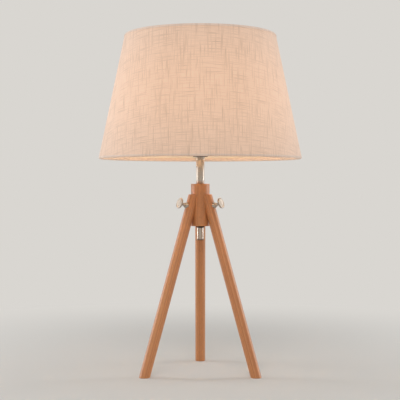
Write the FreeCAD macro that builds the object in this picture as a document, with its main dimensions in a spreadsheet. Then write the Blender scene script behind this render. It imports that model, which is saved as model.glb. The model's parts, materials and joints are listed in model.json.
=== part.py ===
import FreeCAD, Part
import os

import Sketcher

# Tripod table lamp: three beech dowel legs thumbscrewed into a fluted beech hub, a satin nickel stem,
# an E27 lamp holder with its bulb, and a conical linen shade.
# Millimetres, +Z up. The origin lies on the floor, under the lamp's vertical axis.

# Driving dimensions. Levels are worked out below from these, from the feet up.
sizes = {
    # Legs and hub
    "legDiameter": 18,
    "legTilt": 17.3,  # degrees from the vertical
    "legTopLevel": 306.5,  # where the dowels are cut off level
    "legWeb": 3.65,  # wood left between two dowels at their tops
    "legEdgeBreak": 0.6,
    "hubDiameter": 32,
    "hubHead": 18,  # solid part above the dowels
    "hubFluted": 54.5,  # fluted part beside the dowels
    "hubEdgeRadius": 0.8,
    "fluteClearance": 0.15,
    # Centre tube and what is threaded onto it
    "tubeDiameter": 10,
    "tubeBore": 8,
    "tubeClearance": 0.2,
    "threadClearance": 0.05,
    "nutAcross": 14,
    "nutThickness": 2.6,
    "nutTurn": 24,  # degrees from +X to the nut's first corner
    "sleeveDiameter": 11.6,
    "sleeveLength": 20.8,
    "sleeveEngagement": 11,
    "bushingBore": 6.8,
    "bushingLength": 7,
    "bushingLip": 0.8,
    "stemDiameter": 14,
    "stemBore": 12,
    "stemLength": 41.5,
    "collarDiameter": 15.5,
    "collarHeight": 5,
    "collarEdgeRadius": 0.8,
    # Thumbscrews, measured along their own axes from the leg's axis
    "screwLevel": 285,  # where the screw's axis crosses the leg's axis
    "screwDiameter": 5,
    "screwHoleDiameter": 5.8,
    "insertDiameter": 7,
    "insertWall": 0.35,  # wood left between an insert and the centre bore
    "washerHeight": 3.2,
    "washerBaseDiameter": 11,
    "washerTopDiameter": 7.6,
    "saddleGap": 0.1,
    "screwTipGap": 0.3,
    "screwTipBevel": 0.5,
    "neckLength": 8.4,
    "neckDiameter": 4.6,
    "neckShoulderDiameter": 6.8,
    "neckRootDiameter": 8.4,  # where the neck flares into the head
    "headDiameter": 18.5,
    "headThickness": 3.6,
    "headRimRadius": 1.6,
    "headDish": 0.7,
    "headRimWidth": 2.2,
    # Lamp holder
    "holderBaseDiameter": 25,
    "holderDiameter": 41,
    "holderTaper": 15,  # height of the conical part of the cap
    "holderCapHeight": 23.5,
    "holderWall": 2,
    "tubeRise": 9,  # how far the centre tube stands inside the cap
    "flangeDiameter": 46,
    "flangeThickness": 2.5,
    "skirtDiameter": 39,
    "skirtBore": 35,
    "skirtHeight": 32,
    "spigotLength": 6,
    "coreBaseThickness": 4,
    "coreDiameter": 33,
    "coreFloor": 8.5,  # core's underside to the bottom of its well
    "shellThickness": 0.4,
    "shellLength": 26,
    "shellSeatWidth": 3,
    "holderFit": 0.1,
    "contactRise": 2.4,
    "contactWidth": 6,
    "contactReach": 9,
    "contactThickness": 0.5,
    "terminalWidth": 5,
    "terminalLength": 6.4,
    "terminalHeight": 4.6,
    "terminalGap": 0.3,  # between a terminal and the recess for the centre tube
    "terminalScrewDiameter": 2.5,
    "terminalHeadDiameter": 4.2,
    "terminalHeadHeight": 1.5,
    "terminalWireBore": 2,
    # Shade ring
    "ringDiameter": 53,
    "ringHeight": 9,
    "ringFlange": 2.4,
    "ringGripDiameter": 47,
    "ringRunningFit": 0.08,
    "ringRibs": 24,
    "ringRibRadius": 1.1,
    # Shade
    "shadeBottomDiameter": 350,
    "shadeTopDiameter": 260,
    "shadeHeight": 213,
    "linenThickness": 0.7,
    "linerThickness": 0.5,
    "hemThickness": 0.5,
    "hemHeight": 4,
    "hemTurn": 6.5,  # how far the hem is turned up inside
    "wireDiameter": 3,
    "wireClearance": 0.2,
    "fitterDrop": 30,  # fitter plate down to the shade's lower edge
    "fitterBore": 41,
    "fitterDiameter": 58,
    "fitterThickness": 1.2,
    "armDiameter": 3.2,
    "armWeld": 0.6,
    # Bulb
    "capDiameter": 26.2,
    "capWall": 0.4,
    "capHeight": 21,
    "capRunningFit": 0.08,
    "insulatorHeight": 3.2,
    "insulatorFoot": 11,
    "eyeletDiameter": 9,
    "eyeletHeight": 1.6,
    "globeDiameter": 60,
    "globeTaper": 20,  # degrees from the vertical
    "globeWall": 0.8,
    "mountDiameter": 8,
    "mountHeight": 34,
    "leadDiameter": 0.8,
    "leadHeight": 12,
    "filamentSpan": 20,
    "filamentDiameter": 1.4,
}

# Levels and places worked out from the driving dimensions.
derived = {
    "hubTop": "legTopLevel + hubHead",
    "hubBase": "legTopLevel - hubFluted",
    "legTopRadius": "(legDiameter + legWeb) / sqrt(3)",
    "legFootRadius": "legTopRadius + legTopLevel * tan(legTilt)",
    "dowelStartRadius": "legFootRadius + 2 * legDiameter * sin(legTilt)",
    "dowelStartLevel": "-2 * legDiameter * cos(legTilt)",
    "dowelLength": "legTopLevel / cos(legTilt) + 4 * legDiameter",
    "slabSpan": "2 * legFootRadius + 4 * legDiameter",
    "boreRadius": "tubeDiameter / 2 + tubeClearance",
    "screwRadius": "legTopRadius + (legTopLevel - screwLevel) * tan(legTilt)",
    "insertOuterEnd": "legDiameter / 2 + fluteClearance",
    "insertInnerEnd": (
        "(screwRadius - boreRadius - insertWall - insertDiameter / 2 * sin(legTilt)) / cos(legTilt)"
    ),
    "washerTop": "legDiameter / 2 + washerHeight",
    "headBack": "washerTop + neckLength",
    "headFace": "headBack + headThickness",
    "nutBottom": "hubBase - nutThickness",
    "sleeveBottom": "nutBottom - sleeveLength",
    "tubeBottom": "nutBottom - sleeveEngagement",
    "stemTop": "hubTop + stemLength",
    "holderBase": "stemTop + collarHeight",
    "tubeTop": "holderBase + tubeRise",
    "capTop": "holderBase + holderCapHeight",
    "flangeTop": "capTop + flangeThickness",
    "skirtTop": "flangeTop + skirtHeight",
    "spigotBottom": "capTop - spigotLength",
    "coreBottom": "spigotBottom - coreBaseThickness",
    "wellFloor": "coreBottom + coreFloor",
    "shellBore": "capDiameter + 2 * capRunningFit",
    "shellOuter": "shellBore + 2 * shellThickness",
    "wellDiameter": "shellOuter + 2 * holderFit",
    "shellTop": "wellFloor + shellLength",
    "fitterTop": "flangeTop + fitterThickness",
    "shadeBottom": "flangeTop - fitterDrop",
    "shadeTop": "shadeBottom + shadeHeight",
    "shadeSlope": "(shadeBottomDiameter - shadeTopDiameter) / 2 / shadeHeight",
    "linenInset": "hemThickness",
    "linerInset": "linenInset + linenThickness",
    "wallInset": "linerInset + linerThickness",
    "lowerWireLevel": "shadeBottom + hemThickness + wireDiameter / 2 + wireClearance",
    "upperWireLevel": "shadeTop - hemThickness - wireDiameter / 2 - wireClearance",
    "wireInset": "wallInset + wireClearance + wireDiameter / 2 * sqrt(1 + shadeSlope ^ 2)",
    "lowerWireRadius": "shadeBottomDiameter / 2 - wireInset - (lowerWireLevel - shadeBottom) * shadeSlope",
    "upperWireRadius": "shadeBottomDiameter / 2 - wireInset - (upperWireLevel - shadeBottom) * shadeSlope",
    "armInnerRadius": "fitterDiameter / 2 - armWeld",
    "armInnerLevel": "flangeTop + fitterThickness / 2",
    "armOuterRadius": "lowerWireRadius - wireDiameter / 2 + armWeld",
    "armDrop": "armInnerLevel - lowerWireLevel",
    "armRun": "armOuterRadius - armInnerRadius",
    "armLength": "sqrt(armRun ^ 2 + armDrop ^ 2)",
    "armPitch": "90 + atan(armDrop / armRun) / 1deg",
    "recessRadius": "tubeDiameter / 2 + holderWall",
    "terminalOffset": "recessRadius + terminalGap + terminalWidth / 2",
    "contactTop": "wellFloor + contactRise",
    "insulatorBottom": "contactTop + eyeletHeight",
    "bulbCapBottom": "insulatorBottom + insulatorHeight",
    "bulbCapTop": "bulbCapBottom + capHeight",
    "globeRadius": "globeDiameter / 2",
    "neckRadius": "capDiameter / 2",
    "globeShoulder": "bulbCapTop + (globeRadius * cos(globeTaper) - neckRadius) / tan(globeTaper)",
    "globeCentre": "globeShoulder + globeRadius * sin(globeTaper)",
    "globeInnerRadius": "globeRadius - globeWall",
    "globeInnerShoulder": "globeCentre - globeInnerRadius * sin(globeTaper)",
    "neckInnerRadius": "neckRadius - globeWall / cos(globeTaper)",
    "mountTop": "bulbCapTop + mountHeight",
    "leadTop": "mountTop + leadHeight",
}

# Each leg with its screw, washer and insert stands at one of these angles, in degrees.
legAngles = {"front_left": 210, "front_right": 330, "rear": 90}

doc = FreeCAD.newDocument("TripodTableLamp")
sheet = doc.addObject("Spreadsheet::Sheet", "Sizes")
for row, (alias, content) in enumerate(list(sizes.items()) + list(derived.items()), start=1):
    sheet.set(f"A{row}", alias)
    sheet.set(f"B{row}", f"={content}" if alias in derived else str(content))
    sheet.setAlias(f"B{row}", alias)
gauge = doc.addObject("Spreadsheet::Sheet", "Gauge")
doc.recompute()

nodes = []


def sized(expression):
    # Puts the sheet's name before each of its aliases.
    words = expression.replace("(", "( ").replace(")", " )").split()
    return " ".join(f"Sizes.{word}" if sheet.getCellFromAlias(word) else word for word in words)


def measure(expressions):
    # The present values of some expressions, in order.
    for row, expression in enumerate(expressions, start=1):
        gauge.set(f"A{row}", "=" + sized(expression))
    doc.recompute()
    return [float(gauge.get(f"A{row}")) for row in range(1, len(expressions) + 1)]


def bind(item, **properties):
    # Ties properties of an object to expressions; a double underscore stands for a dot.
    for name, expression in properties.items():
        item.setExpression(name.replace("__", "."), sized(str(expression)))
    return item


def place(item, x="0", y="0", z="0", yaw="0", pitch="0", roll="0"):
    vector = f"create(<<vector>>; {sized(x)}; {sized(y)}; {sized(z)})"
    rotation = f"create(<<rotation>>; {sized(yaw)}; {sized(pitch)}; {sized(roll)})"
    item.setExpression("Placement", f"create(<<placement>>; {vector}; {rotation})")
    return item


def part(kind, name, **properties):
    return bind(doc.addObject(f"Part::{kind}", name), **properties)


def combine(kind, name, base, tool):
    made = doc.addObject(f"Part::{kind}", name)
    made.Base = base
    made.Tool = tool
    made.Refine = False
    return made


def keep(item, label):
    # Names a finished sub-part and lists it for export.
    item.Label = label
    nodes.append(item)
    return item


def originPart(body, role):
    return next(item for item in body.Origin.OriginFeatures if item.Role == role)


def newSketch(body, name, role="XY_Plane", level="0"):
    sketch = body.newObject("Sketcher::SketchObject", name)
    sketch.AttachmentSupport = (originPart(body, role), [""])
    sketch.MapMode = "FlatFace"
    return bind(sketch, AttachmentOffset__Base__z=level)


def arcBetween(start, end, radius):
    # The arc of a radius from start to end, with its centre to the left where the radius is positive.
    chord = end.sub(start)
    middle = (start + end) * 0.5
    rise = (radius**2 - (chord.Length / 2) ** 2) ** 0.5
    side = FreeCAD.Vector(-chord.y, chord.x, 0).normalize() * (rise if radius > 0 else -rise)
    centre = middle + side
    bow = side.normalize() * -abs(radius)
    return Part.Arc(start, centre + bow, end)


def drawOutline(sketch, corners):
    # A closed outline through (x, y) corners; a third entry bends the edge that leads to the corner.
    places = measure([text for corner in corners for text in corner])
    points = []
    radii = []
    for corner in corners:
        points.append(FreeCAD.Vector(places.pop(0), places.pop(0), 0))
        radii.append(places.pop(0) if len(corner) == 3 else None)
    starts = []
    ends = []
    for index, end in enumerate(points):
        start = points[index - 1]
        if radii[index] is None:
            edge = sketch.addGeometry(Part.LineSegment(start, end), False)
            starts.append((edge, 1))
            ends.append((edge, 2))
            continue
        arc = arcBetween(start, end, radii[index])
        edge = sketch.addGeometry(arc, False)
        turned = (sketch.getPoint(edge, 1) - start).Length > 1e-6
        starts.append((edge, 2 if turned else 1))
        ends.append((edge, 1 if turned else 2))
        tie = sketch.addConstraint(Sketcher.Constraint("Radius", edge, abs(radii[index])))
        sketch.setExpression(f"Constraints[{tie}]", f"abs({sized(corners[index][2])})")
    for index, corner in enumerate(corners):
        following = starts[(index + 1) % len(corners)]
        sketch.addConstraint(Sketcher.Constraint("Coincident", *ends[index], *following))
        for direction, axis, value, expression in (
            ("DistanceX", -2, points[index].x, corner[0]),
            ("DistanceY", -1, points[index].y, corner[1]),
        ):
            if expression == "0":
                sketch.addConstraint(Sketcher.Constraint("PointOnObject", *ends[index], axis))
                continue
            tie = sketch.addConstraint(Sketcher.Constraint(direction, -1, 1, *ends[index], value))
            sketch.setExpression(f"Constraints[{tie}]", sized(expression))


def drawCircle(sketch, diameter, x="0", y="0"):
    across, right, up = measure([diameter, x, y])
    centre = FreeCAD.Vector(right, up, 0)
    circle = sketch.addGeometry(Part.Circle(centre, FreeCAD.Vector(0, 0, 1), across / 2), False)
    tie = sketch.addConstraint(Sketcher.Constraint("Diameter", circle, across))
    sketch.setExpression(f"Constraints[{tie}]", sized(diameter))
    for direction, axis, value, expression in (("DistanceX", -2, right, x), ("DistanceY", -1, up, y)):
        if expression == "0":
            sketch.addConstraint(Sketcher.Constraint("PointOnObject", circle, 3, axis))
            continue
        tie = sketch.addConstraint(Sketcher.Constraint(direction, -1, 1, circle, 3, value))
        sketch.setExpression(f"Constraints[{tie}]", sized(expression))


def newBody(label):
    return keep(doc.addObject("PartDesign::Body", label), label)


def turn(body, sketch):
    # Turns a sketch in the XZ plane once round the vertical axis.
    turning = body.newObject("PartDesign::Revolution", f"{sketch.Name}_turning")
    turning.Profile = sketch
    turning.ReferenceAxis = (sketch, ["V_Axis"])
    turning.Angle = 360
    doc.recompute()


def turnedBody(label, corners):
    # A body turned about the vertical axis from an outline of (radius, height) corners.
    body = newBody(label)
    sketch = newSketch(body, f"{label}_outline", "XZ_Plane")
    drawOutline(sketch, corners)
    turn(body, sketch)
    return body


def pad(body, sketch, length):
    raised = body.newObject("PartDesign::Pad", f"{sketch.Name}_pad")
    raised.Profile = sketch
    bind(raised, Length=length)
    doc.recompute()
    return raised


def pocketThrough(body, sketch):
    cut = body.newObject("PartDesign::Pocket", f"{sketch.Name}_pocket")
    cut.Profile = sketch
    cut.Type = "ThroughAll"
    cut.Midplane = True
    doc.recompute()
    return cut


def aroundAxis(body, feature, count):
    # Repeats a feature evenly round the body's vertical axis.
    ring = body.newObject("PartDesign::PolarPattern", f"{feature.Name}_ring")
    ring.Originals = [feature]
    ring.Axis = (originPart(body, "Z_Axis"), [""])
    ring.Angle = 360
    bind(ring, Occurrences=count)
    body.Tip = ring
    doc.recompute()
    return ring


def roundCircles(body, radius, level, widest=True):
    # Rounds the circular edge at a level: the widest there, or every one.
    height = measure([level])[0]
    base = body.Tip
    found = []
    for number, edge in enumerate(base.Shape.Edges, start=1):
        box = edge.BoundBox
        if abs(box.ZMin - height) < 1e-4 and abs(box.ZMax - height) < 1e-4:
            found.append((box.XLength, f"Edge{number}"))
    found.sort(reverse=True)
    fillet = body.newObject("PartDesign::Fillet", f"{body.Name}_round_{len(body.Group)}")
    fillet.Base = (base, [name for width, name in (found[:1] if widest else found)])
    bind(fillet, Radius=radius)
    doc.recompute()
    return fillet


def makeLeg(side, angle):
    # A dowel cut off level at both ends, drilled for its screw and relieved round the centre tube.
    dowel = part("Cylinder", f"dowel_{side}", Radius="legDiameter / 2", Height="dowelLength")
    place(dowel, x="dowelStartRadius", z="dowelStartLevel", pitch="0 - legTilt")
    slab = part(
        "Box", f"dowel_slab_{side}", Length="slabSpan", Width="slabSpan", Height="legTopLevel"
    )
    place(slab, x="0 - slabSpan / 2", y="0 - slabSpan / 2")
    cutOff = combine("Common", f"dowel_cut_off_{side}", dowel, slab)
    doc.recompute()
    edgeBreak = measure(["legEdgeBreak"])[0]
    eased = doc.addObject("Part::Chamfer", f"dowel_eased_{side}")
    eased.Base = cutOff
    eased.Edges = [
        (number, edgeBreak, edgeBreak)
        for number, edge in enumerate(cutOff.Shape.Edges, start=1)
        if edge.BoundBox.ZLength < 1e-4
    ]
    hole = part(
        "Cylinder", f"dowel_hole_{side}", Radius="screwHoleDiameter / 2", Height="2 * legDiameter"
    )
    place(
        hole,
        x="screwRadius - legDiameter * cos(legTilt)",
        z="screwLevel - legDiameter * sin(legTilt)",
        pitch="90 - legTilt",
    )
    relief = part("Cylinder", f"dowel_relief_{side}", Radius="boreRadius", Height="hubTop")
    drilled = combine("Cut", f"dowel_drilled_{side}", eased, hole)
    leg = combine("Cut", f"dowel_relieved_{side}", drilled, relief)
    place(leg, yaw=str(angle))
    return keep(leg, f"leg_{side}")


def makeHub():
    # A beech cylinder: the lower length carries three slanting flutes for the dowels.
    body = newBody("hub")
    lower = newSketch(body, "hub_lower", level="hubBase")
    drawCircle(lower, "hubDiameter")
    pad(body, lower, "hubFluted")
    flute = body.newObject("PartDesign::SubtractiveCylinder", "hub_flute")
    bind(flute, Radius="legDiameter / 2 + fluteClearance", Height="dowelLength")
    place(flute, x="dowelStartRadius", z="dowelStartLevel", pitch="0 - legTilt")
    body.Tip = flute
    doc.recompute()
    aroundAxis(body, flute, len(legAngles))
    upper = newSketch(body, "hub_upper", level="legTopLevel")
    drawCircle(upper, "hubDiameter")
    pad(body, upper, "hubHead")
    pocket = body.newObject("PartDesign::SubtractiveCylinder", "hub_insert_bore")
    bind(pocket, Radius="insertDiameter / 2", Height="insertInnerEnd")
    place(
        pocket,
        x="screwRadius - insertInnerEnd * cos(legTilt)",
        z="screwLevel - insertInnerEnd * sin(legTilt)",
        pitch="90 - legTilt",
    )
    body.Tip = pocket
    doc.recompute()
    aroundAxis(body, pocket, len(legAngles))
    bore = newSketch(body, "hub_bore", level="hubBase")
    drawCircle(bore, "2 * boreRadius")
    pocketThrough(body, bore)
    roundCircles(body, "hubEdgeRadius", "hubTop")
    place(body, yaw=str(legAngles["rear"]))
    return body


def screwPlace(item, angle, offset="0"):
    # Sets a piece turned about +Z on the axis of the screw at an angle.
    reach = f"( screwRadius + ( {offset} ) * cos(legTilt) )"
    return place(
        item,
        x=f"{reach} * cos({angle})",
        y=f"{reach} * sin({angle})",
        z=f"screwLevel + ( {offset} ) * sin(legTilt)",
        yaw=str(angle),
        pitch="90 - legTilt",
    )


def makeInsert(side, angle):
    # A brass bush pressed into the hub at the bottom of the flute.
    bore = "screwDiameter / 2 + threadClearance"
    insert = turnedBody(
        f"threaded_insert_{side}",
        [
            (bore, "0 - insertInnerEnd"),
            ("insertDiameter / 2", "0 - insertInnerEnd"),
            ("insertDiameter / 2", "0 - insertOuterEnd"),
            (bore, "0 - insertOuterEnd"),
        ],
    )
    return screwPlace(insert, angle)


def makeWasher(side, angle):
    # A conical washer whose underside is hollowed to sit on the round leg.
    bore = "screwDiameter / 2 + ringRunningFit"
    washer = turnedBody(
        f"saddle_washer_{side}",
        [
            (bore, "legDiameter / 4"),
            ("washerBaseDiameter / 2", "legDiameter / 4"),
            ("washerBaseDiameter / 2", "legDiameter / 2 + saddleGap"),
            ("washerTopDiameter / 2", "washerTop"),
            (bore, "washerTop"),
        ],
    )
    saddle = washer.newObject("PartDesign::SubtractiveCylinder", f"saddle_{side}")
    bind(saddle, Radius="legDiameter / 2 + saddleGap", Height="4 * washerBaseDiameter")
    place(saddle, x="0 - 2 * washerBaseDiameter", pitch="90")
    washer.Tip = saddle
    doc.recompute()
    return screwPlace(washer, angle)


def makeThumbscrew(side, angle):
    # Shank, shoulder, waisted neck and a dished disc head, turned in one piece.
    shank = "screwDiameter / 2"
    shoulder = "neckShoulderDiameter / 2"
    neck = "neckDiameter / 2"
    root = "neckRootDiameter / 2"
    head = "headDiameter / 2"
    rim = "headRimRadius"
    screw = turnedBody(
        f"thumbscrew_{side}",
        [
            ("0", "screwTipGap - insertInnerEnd"),
            (f"{shank} - screwTipBevel", "screwTipGap - insertInnerEnd"),
            (shank, "screwTipGap + screwTipBevel - insertInnerEnd"),
            (shank, "washerTop"),
            (shoulder, "washerTop"),
            (shoulder, "washerTop + neckLength / 8"),
            (neck, "washerTop + neckLength / 2"),
            (neck, "headBack - neckLength / 5"),
            (root, "headBack"),
            (f"{head} - {rim}", "headBack"),
            (head, f"headBack + {rim}", rim),
            (head, f"headFace - {rim}"),
            (f"{head} - {rim}", "headFace", rim),
            (f"{head} - headRimWidth", "headFace"),
            (f"{head} - headRimWidth - headDish", "headFace - headDish"),
            ("0", "headFace - headDish"),
        ],
    )
    return screwPlace(screw, angle)


def makeCentreTube():
    # The threaded tube that draws hub, stem and holder together and carries the leads.
    turnedBody(
        "centre_tube",
        [
            ("tubeBore / 2", "tubeBottom"),
            ("tubeDiameter / 2", "tubeBottom"),
            ("tubeDiameter / 2", "tubeTop"),
            ("tubeBore / 2", "tubeTop"),
        ],
    )


def makeLockNut():
    body = newBody("lock_nut")
    outline = newSketch(body, "nut_hexagon", level="nutBottom")
    corner = "nutAcross / sqrt(3)"
    turns = [f"nutTurn + {turn}" for turn in range(0, 360, 60)]
    drawOutline(outline, [(f"{corner} * cos({turn})", f"{corner} * sin({turn})") for turn in turns])
    pad(body, outline, "nutThickness")
    bore = newSketch(body, "nut_bore", level="nutBottom")
    drawCircle(bore, "tubeDiameter + 2 * threadClearance")
    pocketThrough(body, bore)


def makeSleeve():
    # The nickel sleeve that finishes the tube's lower end, with the bushing where the cord leaves.
    inner = "tubeDiameter / 2 + threadClearance"
    turnedBody(
        "lower_sleeve",
        [
            (inner, "sleeveBottom"),
            ("sleeveDiameter / 2", "sleeveBottom"),
            ("sleeveDiameter / 2", "nutBottom"),
            (inner, "nutBottom"),
        ],
    )
    outer = "tubeDiameter / 2"
    turnedBody(
        "cord_bushing",
        [
            ("bushingBore / 2", "sleeveBottom - bushingLip"),
            ("sleeveDiameter / 2", "sleeveBottom - bushingLip"),
            ("sleeveDiameter / 2", "sleeveBottom"),
            (outer, "sleeveBottom"),
            (outer, "sleeveBottom + bushingLength"),
            ("bushingBore / 2", "sleeveBottom + bushingLength"),
        ],
    )


def makeStem():
    turnedBody(
        "stem_tube",
        [
            ("stemBore / 2", "hubTop"),
            ("stemDiameter / 2", "hubTop"),
            ("stemDiameter / 2", "stemTop"),
            ("stemBore / 2", "stemTop"),
        ],
    )
    inner = "tubeDiameter / 2 + threadClearance"
    collar = turnedBody(
        "stem_collar",
        [
            (inner, "stemTop"),
            ("collarDiameter / 2", "stemTop"),
            ("collarDiameter / 2", "holderBase"),
            (inner, "holderBase"),
        ],
    )
    roundCircles(collar, "collarEdgeRadius", "stemTop")


def makeHolder():
    # The plastic cap screwed to the centre tube, and the skirt whose flange carries the shade.
    base = "holderBaseDiameter / 2"
    outer = "holderDiameter / 2"
    spigot = "skirtDiameter / 2 - holderWall / 2"
    cap = turnedBody(
        "holder_cap",
        [
            ("tubeDiameter / 2 + threadClearance", "holderBase"),
            (base, "holderBase"),
            (outer, "holderBase + holderTaper"),
            (outer, "capTop"),
            (f"{spigot} + holderFit", "capTop"),
            (f"{spigot} + holderFit", "coreBottom"),
            (f"{spigot} + holderFit - holderWall", "coreBottom"),
            (f"{spigot} + holderFit - holderWall", "holderBase + holderTaper - holderWall"),
            (f"{base} - holderWall", "holderBase + holderWall"),
            ("tubeDiameter / 2 + threadClearance", "holderBase + holderWall"),
        ],
    )
    roundCircles(cap, "holderWall / 2", "holderBase")
    skirt = "skirtDiameter / 2"
    turnedBody(
        "holder_skirt",
        [
            ("skirtBore / 2", "spigotBottom"),
            (spigot, "spigotBottom"),
            (spigot, "capTop"),
            ("flangeDiameter / 2", "capTop"),
            ("flangeDiameter / 2", "flangeTop"),
            (skirt, "flangeTop"),
            (skirt, "skirtTop - holderWall / 2"),
            (f"{skirt} - holderWall / 4", "skirtTop"),
            ("skirtBore / 2", "skirtTop"),
        ],
    )


def makeHolderCore():
    # The insulating core in the skirt, with the screw shell and centre contact in its well.
    foot = "skirtDiameter / 2 - holderWall / 2 - holderFit"
    body = turnedBody(
        "holder_core",
        [
            ("0", "coreBottom"),
            (foot, "coreBottom"),
            (foot, "spigotBottom"),
            ("coreDiameter / 2", "spigotBottom"),
            ("coreDiameter / 2", "shellTop"),
            ("wellDiameter / 2", "shellTop"),
            ("wellDiameter / 2", "wellFloor"),
            ("0", "wellFloor"),
        ],
    )
    recess = newSketch(body, "core_tube_recess", level="coreBottom")
    drawCircle(recess, "2 * recessRadius")
    hollow = body.newObject("PartDesign::Pocket", "core_tube_recess_pocket")
    hollow.Profile = recess
    hollow.Reversed = True
    bind(hollow, Length="coreFloor - coreBaseThickness")
    doc.recompute()
    turnedBody(
        "screw_shell",
        [
            ("shellBore / 2 - shellSeatWidth", "wellFloor"),
            ("shellOuter / 2", "wellFloor"),
            ("shellOuter / 2", "shellTop"),
            ("shellBore / 2", "shellTop"),
            ("shellBore / 2", "wellFloor + shellThickness"),
            ("shellBore / 2 - shellSeatWidth", "wellFloor + shellThickness"),
        ],
    )
    contact = newBody("centre_contact")
    strip = newSketch(contact, "contact_strip", "XZ_Plane")
    tip = "contactWidth / 2"
    drawOutline(
        strip,
        [
            ("0 - contactReach", "wellFloor"),
            (f"0 - {tip} - contactRise", "wellFloor"),
            (f"0 - {tip}", "contactTop - contactThickness"),
            (tip, "contactTop - contactThickness"),
            (tip, "contactTop"),
            (f"0 - {tip} - contactThickness / 2", "contactTop"),
            (f"0 - {tip} - contactRise - contactThickness / 2", "wellFloor + contactThickness"),
            ("0 - contactReach", "wellFloor + contactThickness"),
        ],
    )
    raised = pad(contact, strip, "contactWidth")
    raised.Midplane = True


def makeTerminal(name, side):
    # A brass terminal block under the core with its clamping screw. side is 1 or -1.
    bottom = "coreBottom - terminalHeight"
    block = newBody(f"terminal_{name}")
    outline = newSketch(block, f"terminal_outline_{name}", level=bottom)
    low = f"{side} * terminalOffset - terminalWidth / 2"
    high = f"{side} * terminalOffset + terminalWidth / 2"
    near = "0 - terminalLength / 2"
    far = "terminalLength / 2"
    drawOutline(outline, [(low, near), (high, near), (high, far), (low, far)])
    pad(block, outline, "terminalHeight")
    hole = newSketch(block, f"terminal_screw_hole_{name}", level=bottom)
    drawCircle(hole, "terminalScrewDiameter + 2 * threadClearance", x=f"{side} * terminalOffset")
    pocketThrough(block, hole)
    screw = turnedBody(
        f"terminal_screw_{name}",
        [
            ("0", f"{bottom} - terminalHeadHeight"),
            ("terminalHeadDiameter / 2", f"{bottom} - terminalHeadHeight"),
            ("terminalHeadDiameter / 2", bottom),
            ("terminalScrewDiameter / 2", bottom),
            ("terminalScrewDiameter / 2", "coreBottom - terminalWireBore"),
            ("0", "coreBottom - terminalWireBore"),
        ],
    )
    place(screw, x=f"{side} * terminalOffset")


def makeShadeRing():
    # The ribbed ring that screws down on the skirt and clamps the shade's fitter plate.
    inner = "skirtDiameter / 2 + ringRunningFit"
    grip = "ringGripDiameter / 2"
    body = turnedBody(
        "shade_ring",
        [
            (inner, "fitterTop"),
            ("ringDiameter / 2", "fitterTop"),
            ("ringDiameter / 2", "fitterTop + ringFlange"),
            (grip, "fitterTop + ringFlange"),
            (grip, "fitterTop + ringHeight"),
            (inner, "fitterTop + ringHeight"),
        ],
    )
    rib = newSketch(body, "ring_rib", level="fitterTop + ringFlange / 2")
    drawCircle(rib, "2 * ringRibRadius", x=grip)
    raised = pad(body, rib, "ringHeight - ringFlange")
    aroundAxis(body, raised, "ringRibs")


def wallRadius(inset, level):
    # The radius of the shade's conical wall, drawn in by an inset, at a level.
    return f"shadeBottomDiameter / 2 - ( {inset} ) - ( ( {level} ) - shadeBottom ) * shadeSlope"


def conicalSkin(label, inset, thickness, bottom, top):
    deeper = f"{inset} + {thickness}"
    return turnedBody(
        label,
        [
            (wallRadius(deeper, bottom), bottom),
            (wallRadius(inset, bottom), bottom),
            (wallRadius(inset, top), top),
            (wallRadius(deeper, top), top),
        ],
    )


def makeHem(label, edge, direction):
    # A strip of linen rolled round the wire: outside, over the edge and up inside the shade.
    clearOfWire = "wallInset + 2 * wireClearance + wireDiameter * sqrt( 1 + shadeSlope ^ 2 )"
    fold = f"{edge} + {direction} * hemThickness"
    outside = f"{edge} + {direction} * hemHeight"
    inside = f"{edge} + {direction} * hemTurn"
    innermost = f"{clearOfWire} + hemThickness"
    return turnedBody(
        label,
        [
            (wallRadius("0", edge), edge),
            (wallRadius("0", outside), outside),
            (wallRadius("hemThickness", outside), outside),
            (wallRadius("hemThickness", fold), fold),
            (wallRadius(clearOfWire, fold), fold),
            (wallRadius(clearOfWire, inside), inside),
            (wallRadius(innermost, inside), inside),
            (wallRadius(innermost, edge), edge),
        ],
    )


def makeShade():
    bottom = "shadeBottom + hemThickness"
    top = "shadeTop - hemThickness"
    conicalSkin("shade_cover", "linenInset", "linenThickness", bottom, top)
    conicalSkin("shade_liner", "linerInset", "linerThickness", bottom, top)
    lowerHem = makeHem("bottom_hem", "shadeBottom", "1")
    slit = lowerHem.newObject("PartDesign::SubtractiveCylinder", "hem_slit")
    bind(slit, Radius="armDiameter / 2 + wireClearance", Height="armLength")
    place(slit, x="armInnerRadius", z="armInnerLevel", pitch="armPitch")
    lowerHem.Tip = slit
    doc.recompute()
    aroundAxis(lowerHem, slit, len(legAngles))
    place(lowerHem, yaw=str(legAngles["rear"]))
    makeHem("top_hem", "shadeTop", "-1")
    for label, radius, level in (
        ("bottom_wire", "lowerWireRadius", "lowerWireLevel"),
        ("top_wire", "upperWireRadius", "upperWireLevel"),
    ):
        wire = newBody(label)
        section = newSketch(wire, f"{label}_section", "XZ_Plane")
        drawCircle(section, "wireDiameter", x=radius, y=level)
        turn(wire, section)
    turnedBody(
        "fitter_plate",
        [
            ("fitterBore / 2", "flangeTop"),
            ("fitterDiameter / 2", "flangeTop"),
            ("fitterDiameter / 2", "fitterTop"),
            ("fitterBore / 2", "fitterTop"),
        ],
    )
    for side, angle in legAngles.items():
        label = f"fitter_arm_{side}"
        arm = keep(part("Cylinder", label, Radius="armDiameter / 2", Height="armLength"), label)
        place(
            arm,
            x=f"armInnerRadius * cos({angle})",
            y=f"armInnerRadius * sin({angle})",
            z="armInnerLevel",
            yaw=str(angle),
            pitch="armPitch",
        )


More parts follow.
